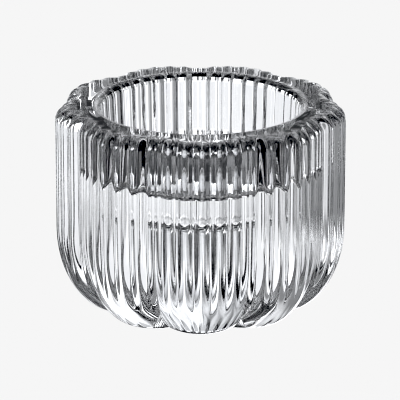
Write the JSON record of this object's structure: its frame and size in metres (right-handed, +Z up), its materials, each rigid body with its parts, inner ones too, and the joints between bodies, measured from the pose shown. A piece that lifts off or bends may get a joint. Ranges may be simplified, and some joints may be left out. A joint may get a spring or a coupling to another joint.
{
  "type": "glass candle holder",
  "caption": "Round pressed-glass candle holder with a lobed, vertically ribbed outside, a shallow well for a tea light and a hollow foot.",
  "frame": {"origin": "on the holder's axis, in the plane of its foot", "axes": "+Z up along the axis, out of the candle well; the lobe that faces the picture's camera points half a rib away from -Y"},
  "size_m": [0.0692, 0.069, 0.0503],
  "materials": {
    "clear_glass": "clear, polished"
  },
  "bodies": {
    "root": {"glass_body": "clear_glass"}
  },
  "joints": []
}
